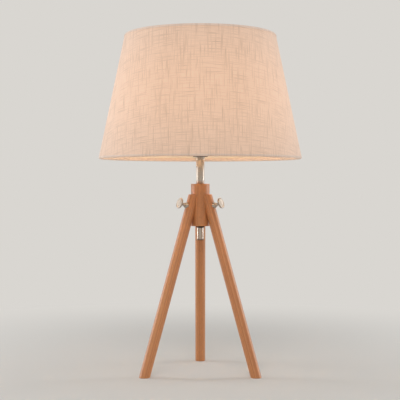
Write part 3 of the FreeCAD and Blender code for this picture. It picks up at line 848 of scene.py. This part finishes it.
for i in range(1, thumb["neckSteps"] + 1):
    # The waist: in from the shoulder, and out again into the head
    share = i / thumb["neckSteps"]
    fromShoulder = thumb["shoulderFlare"] * (1 - min(share / 0.45, 1)) ** 2
    intoHead = thumb["headFlare"] * max((share - 0.55) / 0.45, 0) ** 2.2
    out = fromShoulder + intoHead
    profile.append((thumb["neck"] + out, top + thumb["collarHeight"] + neckLength * share))
inner = thumb["head"] - thumb["rim"]
profile += [(inner, thumb["headBack"])]
profile += arc(inner, thumb["headBack"] + thumb["rim"], thumb["rim"], -90, 0, 8)[1:]
profile += arc(inner, thumb["headFace"] - thumb["rim"], thumb["rim"], 0, 90, 8)
lip = thumb["head"] - thumb["rimWidth"]
profile += [
    (lip + 0.25, thumb["headFace"]),
    (lip, thumb["headFace"] - 0.08),
    (lip - thumb["dish"], thumb["headFace"] - thumb["dish"]),
    (lip * 0.5, thumb["headFace"] - thumb["dish"] - 0.12),
    (0, thumb["headFace"] - thumb["dish"] - 0.15),
]
pattern = turned("thumbscrewPattern", profile, 64)
for side, angle in legAngles.items():
    turn = math.radians(angle)
    place = (
        thumb["radiusOut"] * mm * math.cos(turn),
        thumb["radiusOut"] * mm * math.sin(turn),
        thumb["level"] * mm,
    )
    lean = (0, math.pi / 2 - legTilt, turn)
    only(pattern)
    bpy.ops.object.duplicate()
    piece = named(f"thumbscrew_{side}_turned")
    settle(piece, place, lean)
    screwNickel = makeNickel(f"satinNickel_{side}", place, lean, 0.28)
    fit(piece, f"screw_{side}", screwNickel, [f"thumbscrew_{side}"], 30)
    paint(screwNickel, f"saddle_washer_{side}")
    paint(brass, f"threaded_insert_{side}")
bpy.data.objects.remove(pattern)
print("thumbscrews made")

# Lamp holder: its cap, and the threaded skirt that carries the shade
cap = {
    "base": 12.5,
    "recess": 9.5,  # inner radius of the shallow groove in its underside
    "outer": 20.5,
    "bottom": 371.0,
    "taper": 15.0,  # height of its slanting side
    "top": 394.5,
    "bore": 5.05,
    "spigot": 18.6,
    "seat": 384.5,  # the step that its wide bore ends on
    "inside": 16.6,
    "floor": 2.0,
}
piece = turned(
    "holderCap",
    [
        (cap["bore"], cap["bottom"]),
        (cap["recess"], cap["bottom"]),
        (cap["recess"], cap["bottom"] + 0.5),
        (cap["base"] - 1.0, cap["bottom"] + 0.5),
        (cap["base"] - 1.0, cap["bottom"]),
        *arc(cap["base"] - 0.6, cap["bottom"] + 1.0, 1.0, -90, -30, 4),
        (cap["outer"] - 0.9, cap["bottom"] + cap["taper"] - 1.2),
        (cap["outer"], cap["bottom"] + cap["taper"] + 0.4),
        (cap["outer"], cap["top"] - 3.0),
        (cap["outer"] - 0.5, cap["top"] - 2.6),
        (cap["outer"] - 0.5, cap["top"] - 2.0),
        (cap["outer"], cap["top"] - 1.6),
        (cap["outer"], cap["top"] - 0.4),
        (cap["outer"] - 0.4, cap["top"]),
        (cap["spigot"], cap["top"]),
        (cap["spigot"], cap["seat"]),
        (cap["inside"], cap["seat"]),
        (cap["inside"], cap["seat"] - 0.5),
        (cap["base"] - 2.0, cap["bottom"] + cap["floor"]),
        (cap["bore"], cap["bottom"] + cap["floor"]),
        (cap["bore"], cap["bottom"]),
    ],
)
fit(piece, "stand", phenolic, ["holder_cap"], 28)

skirt = {
    "bore": 17.5,
    "foot": 18.5,
    "outer": 19.5,
    "bottom": 388.5,
    "seat": 394.5,
    "flange": 23.0,
    "flangeTop": 397.0,
    "top": 429.0,
    "thread": 0.55,  # its depth
    "pitch": 2.5,
}
threadRoot = skirt["outer"] - skirt["thread"]
profile = [
    (skirt["bore"], skirt["bottom"]),
    (skirt["foot"], skirt["bottom"]),
    (skirt["foot"], skirt["seat"]),
    (skirt["flange"] - 0.5, skirt["seat"]),
    (skirt["flange"], skirt["seat"] + 0.5),
    (skirt["flange"], skirt["flangeTop"] - 0.5),
    (skirt["flange"] - 0.5, skirt["flangeTop"]),
    (threadRoot, skirt["flangeTop"]),
]
level = skirt["flangeTop"] + 0.6
while level < skirt["top"] - 5.5:
    # Rounded turns of the shade ring's thread
    profile += [
        (threadRoot, level),
        (skirt["outer"], level + 0.3 * skirt["pitch"]),
        (skirt["outer"], level + 0.5 * skirt["pitch"]),
        (threadRoot, level + 0.8 * skirt["pitch"]),
    ]
    level += skirt["pitch"]
profile += [
    (threadRoot, skirt["top"] - 1.2),
    (threadRoot - 0.8, skirt["top"]),
    (skirt["bore"] + 0.3, skirt["top"]),
    (skirt["bore"], skirt["top"] - 0.3),
    (skirt["bore"], skirt["bottom"]),
]
piece = turned("holderSkirt", profile)
fit(piece, "stand", phenolic, ["holder_skirt"], 28)
paint(phenolic, "holder_core", "shade_ring")
paint(zinc, "centre_tube", "terminal_screw_live", "terminal_screw_neutral")
paint(brass, "screw_shell", "centre_contact", "terminal_live", "terminal_neutral")
print("lamp holder made")

# Bulb: an opal globe and its rolled screw cap
globe = {
    "neck": 13.1,
    "bottom": 421.2,
    "radius": 30.0,
    "centre": 472.93,
    "taper": 20.0,  # degrees below its middle, where the round runs out into the neck
}
piece = turned(
    "bulbGlobe",
    [
        (0, globe["bottom"]),
        (globe["neck"] - 0.5, globe["bottom"]),
        (globe["neck"], globe["bottom"] + 0.6),
        (globe["neck"] + 1.1, globe["bottom"] + 4.5),
        *arc(0, globe["centre"], globe["radius"], -globe["taper"], 90, 32)[:-1],
        (0, globe["centre"] + globe["radius"]),
    ],
    80,
)
fit(piece, "bulb", opalGlass, ["bulb_globe"], 60)

lampCap = {
    "outer": 13.1,
    "root": 12.35,
    "bottom": 400.2,
    "top": 421.2,
    "pitch": 3.63,
    "turns": 4,
    "turnSteps": 8,
}
profile = [
    (0, lampCap["bottom"]),
    (lampCap["root"] - 0.6, lampCap["bottom"]),
    (lampCap["root"], lampCap["bottom"] + 0.7),
]
for i in range(lampCap["turns"] * lampCap["turnSteps"] + 1):
    # Round rolled turns of the screw cap
    swell = (1 - math.cos(2 * math.pi * i / lampCap["turnSteps"])) / 2
    radius = lampCap["root"] + (lampCap["outer"] - lampCap["root"]) * swell
    height = lampCap["bottom"] + 1.0 + lampCap["pitch"] * i / lampCap["turnSteps"]
    profile.append((radius, height))
profile += [
    (lampCap["root"], lampCap["top"] - 4.6),
    (lampCap["outer"], lampCap["top"] - 3.4),
    (lampCap["outer"], lampCap["top"] - 0.3),
    (lampCap["outer"] - 0.4, lampCap["top"]),
    (0, lampCap["top"]),
]
piece = turned("bulbScrewCap", profile, 72)
fit(piece, "bulb", rolledAluminium, ["bulb_cap"], 60)

paint(vitrite, "bulb_insulator")
paint(brass, "bulb_contact")
paint(opalGlass, "bulb_mount")
paint(drawnWire, "bulb_lead_left", "bulb_lead_right")
paint(hotFilament, "bulb_filament")
print("bulb made")


def layClothMap(piece):
    # Lays the cone out flat, in metres, as the linen was cut, where its threads are straight
    mesh = piece.data
    layer = mesh.uv_layers.new(name="cloth")
    longest = wall["bottomRadius"] * mm / wallSine
    for face in mesh.polygons:
        middleTurn = math.atan2(face.center.x, -face.center.y)
        for loop in face.loop_indices:
            corner = mesh.vertices[mesh.loops[loop].vertex_index].co
            turn = math.atan2(corner.x, -corner.y)
            if turn - middleTurn > math.pi:
                turn -= 2 * math.pi
            elif middleTurn - turn > math.pi:
                turn += 2 * math.pi
            reach = longest - corner.z / wallCosine + wall["bottom"] * mm
            share = turn * wallSine
            layer.uv[loop].vector = (reach * math.sin(share), longest - reach * math.cos(share))


# Shade: the linen is one open cone
cover = {
    "inset": 0.5,
    "thickness": 0.5,
    "bottom": 369.0,
    "top": 578.0,
    "sides": 192,
    "bands": 12,
}
bpy.ops.object.select_all(action="DESELECT")
bpy.ops.mesh.primitive_cone_add(
    vertices=cover["sides"],
    radius1=wallRadius(cover["inset"], cover["bottom"]) * mm,
    radius2=wallRadius(cover["inset"], cover["top"]) * mm,
    depth=(cover["top"] - cover["bottom"]) * mm,
    end_fill_type="NOTHING",
    location=(0, 0, (cover["bottom"] + cover["top"]) / 2 * mm),
)
linenCover = named("linenCover")
bpy.ops.object.transform_apply(location=True, rotation=True, scale=True)
bpy.ops.object.mode_set(mode="EDIT")
for i in range(1, cover["bands"]):
    # Rings round the cloth, so that its flat layout follows the cone closely
    bpy.ops.mesh.select_all(action="SELECT")
    level = cover["bottom"] + (cover["top"] - cover["bottom"]) * i / cover["bands"]
    bpy.ops.mesh.bisect(plane_co=(0, 0, level * mm), plane_no=(0, 0, 1))
bpy.ops.object.mode_set(mode="OBJECT")
layClothMap(linenCover)

# The overlap at the back: a strip of the same cloth, cut from a copy of the cover
seam = {
    "halfAngle": 2.9,  # degrees each side of the back
    "thickness": 0.42,
    "edge": 0.15,
}
only(linenCover)
bpy.ops.object.duplicate()
clothSeam = named("linenSeam")
bpy.ops.object.mode_set(mode="EDIT")
bpy.ops.mesh.select_all(action="DESELECT")
bpy.ops.mesh.select_mode(type="FACE")
bpy.ops.object.mode_set(mode="OBJECT")
for face in clothSeam.data.polygons:
    back = math.degrees(abs(math.atan2(face.center.x, face.center.y)))
    face.select = back > seam["halfAngle"]
bpy.ops.object.mode_set(mode="EDIT")
bpy.ops.mesh.delete(type="FACE")
bpy.ops.mesh.select_mode(type="VERT")
bpy.ops.object.mode_set(mode="OBJECT")

for cloth, thickness, offset in (
    (linenCover, cover["thickness"], -1.0),
    (clothSeam, seam["thickness"], 1.0),
):
    only(cloth)
    solid = cloth.modifiers.new("clothThickness", "SOLIDIFY")
    solid.thickness = thickness * mm
    solid.offset = offset
    solid.use_even_offset = True
    bpy.ops.object.modifier_apply(modifier="clothThickness")
easeEdges(clothSeam, seam["edge"], 1, 60)
fit(linenCover, "shade", clothLinen, ["shade_cover"])
fit(clothSeam, "shade", clothLinen)

liner = {"inset": 1.2, "thickness": 0.5, "bottom": 368.6, "top": 578.4}
piece = turned(
    "shadeLining",
    [
        (wallRadius(liner["inset"] + liner["thickness"], liner["bottom"]), liner["bottom"]),
        (wallRadius(liner["inset"], liner["bottom"]), liner["bottom"]),
        (wallRadius(liner["inset"], liner["top"]), liner["top"]),
        (wallRadius(liner["inset"] + liner["thickness"], liner["top"]), liner["top"]),
        (wallRadius(liner["inset"] + liner["thickness"], liner["bottom"]), liner["bottom"]),
    ],
    192,
)
fit(piece, "shade", shadeFilm, ["shade_liner"])

hem = {
    "outside": 4.0,  # how far it reaches from the rim, outside and inside
    "inside": 6.5,
    "thickness": 0.5,
    "width": 5.67,  # of the roll round the wire
    "steps": 14,
}
for name, edge, direction, node in (
    ("lowerHem", wall["bottom"], 1, "bottom_hem"),
    ("upperHem", wall["top"], -1, "top_hem"),
):
    # The tape rolls round the wire: down the outside, round the edge, and up inside
    outside = edge + direction * hem["outside"]
    inside = edge + direction * hem["inside"]
    rolled = hem["width"] / 2
    centreLevel = edge + direction * rolled
    centre = wallRadius(rolled, centreLevel)
    profile = [(wallRadius(0, outside), outside)]
    profile += arc(centre, centreLevel, rolled, 0, -180 * direction, hem["steps"])
    profile += [
        (wallRadius(hem["width"], inside), inside),
        (wallRadius(hem["width"] - hem["thickness"], inside), inside),
    ]
    innerRoll = rolled - hem["thickness"]
    profile += arc(centre, centreLevel, innerRoll, -180 * direction, 0, hem["steps"])
    profile += [(wallRadius(hem["thickness"], outside), outside), profile[0]]
    piece = turned(name, profile, 192)
    layClothMap(piece)
    fit(piece, "shade", hemLinen, [node], 50)

# The arms of the shade's frame: one rod with its welds, copied to the three sides
arm = {
    "radius": 1.6,
    "start": (28.4, 397.6),  # distance from the lamp's axis, and height
    "end": (170.2, 369.2),
    "edge": 0.4,
    "bead": 2.5,
    "beadSquash": 0.85,
    "plateBead": (1.2, 0.5),  # distance from the rod's end, and flatness
    "wireBead": (1.6, 0.75),
}
startAt = Vector((arm["start"][0], 0, arm["start"][1])) * mm
run = Vector((arm["end"][0], 0, arm["end"][1])) * mm - startAt
bpy.ops.object.select_all(action="DESELECT")
bpy.ops.mesh.primitive_cylinder_add(
    vertices=24, radius=arm["radius"] * mm, depth=run.length, location=(0, 0, run.length / 2)
)
rodPattern = named("fitterRodPattern")
bpy.ops.object.transform_apply(location=True, rotation=True, scale=True)
easeEdges(rodPattern, arm["edge"])
beads = []
for along, flatness in (
    (arm["plateBead"][0] * mm, arm["plateBead"][1]),
    (run.length - arm["wireBead"][0] * mm, arm["wireBead"][1]),
):
    # A low weld bead at each end of the rod
    bpy.ops.object.select_all(action="DESELECT")
    bpy.ops.mesh.primitive_uv_sphere_add(
        segments=20, ring_count=12, radius=arm["bead"] * mm, location=(0, 0, along)
    )
    bead = named("weldBead")
    bead.scale = (1.0, arm["beadSquash"], flatness)
    bpy.ops.object.transform_apply(location=True, rotation=True, scale=True)
    beads.append(bead)
only(rodPattern)
for bead in beads:
    bead.select_set(True)
bpy.ops.object.join()
for side, angle in legAngles.items():
    turn = math.radians(angle)
    only(rodPattern)
    bpy.ops.object.duplicate()
    rod = named(f"fitterRod_{side}")
    place = (startAt.x * math.cos(turn), startAt.x * math.sin(turn), startAt.z)
    settle(rod, place, (0, math.atan2(run.x, run.z), turn))
    fit(rod, "shade", powderCoat, [f"fitter_arm_{side}"], 50)
bpy.data.objects.remove(rodPattern)
paint(powderCoat, "bottom_wire", "top_wire", "fitter_plate")
print("shade made")

# Floor and backdrop of one pale colour, and a soft light from all round
studio = {
    "floorRadius": 14,
    "floorColour": "#d9d6d1",
    "backdropColour": "#d9d6d1",
    "skyStrength": 0.46,
    "fadeFrom": 0.22,  # metres from the lamp where the floor begins to turn into the backdrop
    "fadeTo": 1.0,
    "aim": (0, 0, 0.34),  # the point that the softboxes face
}


def seenDirectly(tree):
    # 1 where the backdrop is seen, by the camera or in metal or glass, and 0 where it only lights
    path = addNode(tree, "ShaderNodeLightPath")
    opaque = addNode(
        tree,
        "ShaderNodeMath",
        {"operation": "MAXIMUM"},
        {0: path.outputs["Is Camera Ray"], 1: path.outputs["Is Glossy Ray"]},
    )
    return addNode(
        tree,
        "ShaderNodeMath",
        {"operation": "MAXIMUM"},
        {0: opaque.outputs[0], 1: path.outputs["Is Transmission Ray"]},
    )


bpy.ops.object.select_all(action="DESELECT")
bpy.ops.mesh.primitive_circle_add(
    vertices=96, radius=studio["floorRadius"], fill_type="NGON", location=(0, 0, 0)
)
floor = named("studioFloor")
floorMaterial = bpy.data.materials.new("paleFloor")
floorMaterial.use_nodes = True
tree = floorMaterial.node_tree
tree.nodes.clear()
matte = addNode(tree, "ShaderNodeBsdfDiffuse", {"Color": linear(studio["floorColour"])})
backdropShade = addNode(
    tree, "ShaderNodeEmission", {"Color": linear(studio["backdropColour"]), "Strength": 1.0}
)
where = addNode(tree, "ShaderNodeTexCoord")
distance = addNode(
    tree, "ShaderNodeVectorMath", {"operation": "LENGTH"}, {0: where.outputs["Object"]}
)
fade = addNode(
    tree,
    "ShaderNodeMapRange",
    {
        "interpolation_type": "SMOOTHSTEP",
        "From Min": studio["fadeFrom"],
        "From Max": studio["fadeTo"],
    },
    {"Value": distance.outputs["Value"]},
)
seen = seenDirectly(tree)
share = addNode(
    tree, "ShaderNodeMath", {"operation": "MULTIPLY"}, {0: fade.outputs[0], 1: seen.outputs[0]}
)
mixed = addNode(
    tree,
    "ShaderNodeMixShader",
    links={0: share.outputs[0], 1: matte.outputs[0], 2: backdropShade.outputs[0]},
)
addNode(tree, "ShaderNodeOutputMaterial", links={"Surface": mixed.outputs[0]})
floor.data.materials.append(floorMaterial)

world = bpy.data.worlds.new("studio")
bpy.context.scene.world = world
world.use_nodes = True
tree = world.node_tree
tree.nodes.clear()
softLight = addNode(
    tree, "ShaderNodeBackground", {"Color": (1, 1, 1, 1), "Strength": studio["skyStrength"]}
)
backdrop = addNode(
    tree, "ShaderNodeBackground", {"Color": linear(studio["backdropColour"]), "Strength": 1.0}
)
seen = seenDirectly(tree)
mixed = addNode(
    tree,
    "ShaderNodeMixShader",
    links={0: seen.outputs[0], 1: softLight.outputs[0], 2: backdrop.outputs[0]},
)
addNode(tree, "ShaderNodeOutputWorld", links={"Surface": mixed.outputs[0]})

# Two tall softboxes at the sides, and a wide one over the camera
softboxes = {
    "leftBox": {
        "place": (-1.35, 0.3, 0.45),
        "size": (0.45, 0.9),
        "power": 8.0,
        "colour": (0.9, 0.95, 1.0),
    },
    "rightBox": {
        "place": (1.35, 0.35, 0.45),
        "size": (0.45, 0.9),
        "power": 7.0,
        "colour": (0.9, 0.95, 1.0),
    },
    "frontBox": {
        "place": (-0.2, -2.3, 1.9),
        "size": (1.6, 0.9),
        "power": 21.0,
        "colour": (1.0, 1.0, 1.0),
    },
}
for name, box in softboxes.items():
    light = bpy.data.lights.new(name, "AREA")
    light.shape = "RECTANGLE"
    light.size, light.size_y = box["size"]
    light.energy = box["power"]
    light.color = box["colour"]
    lightObject = bpy.data.objects.new(name, light)
    bpy.context.scene.collection.objects.link(lightObject)
    lightObject.location = box["place"]
    towards = Vector(studio["aim"]) - Vector(box["place"])
    lightObject.rotation_euler = towards.to_track_quat("-Z", "Y").to_euler()

view = {
    "place": (-0.0005, -1.701, 0.322),
    "lens": 88.78,  # mm, as the sensor's width
    "sensor": 36,
    "down": 0.854,  # degrees below level
}
cameraData = bpy.data.cameras.new("camera")
cameraData.lens = view["lens"]
cameraData.sensor_width = view["sensor"]
cameraData.sensor_fit = "HORIZONTAL"
camera = bpy.data.objects.new("camera", cameraData)
bpy.context.scene.collection.objects.link(camera)
camera.location = view["place"]
camera.rotation_euler = (math.radians(90 - view["down"]), 0, 0)
bpy.context.scene.camera = camera
bpy.context.scene.view_settings.view_transform = "Standard"
print("studio ready")
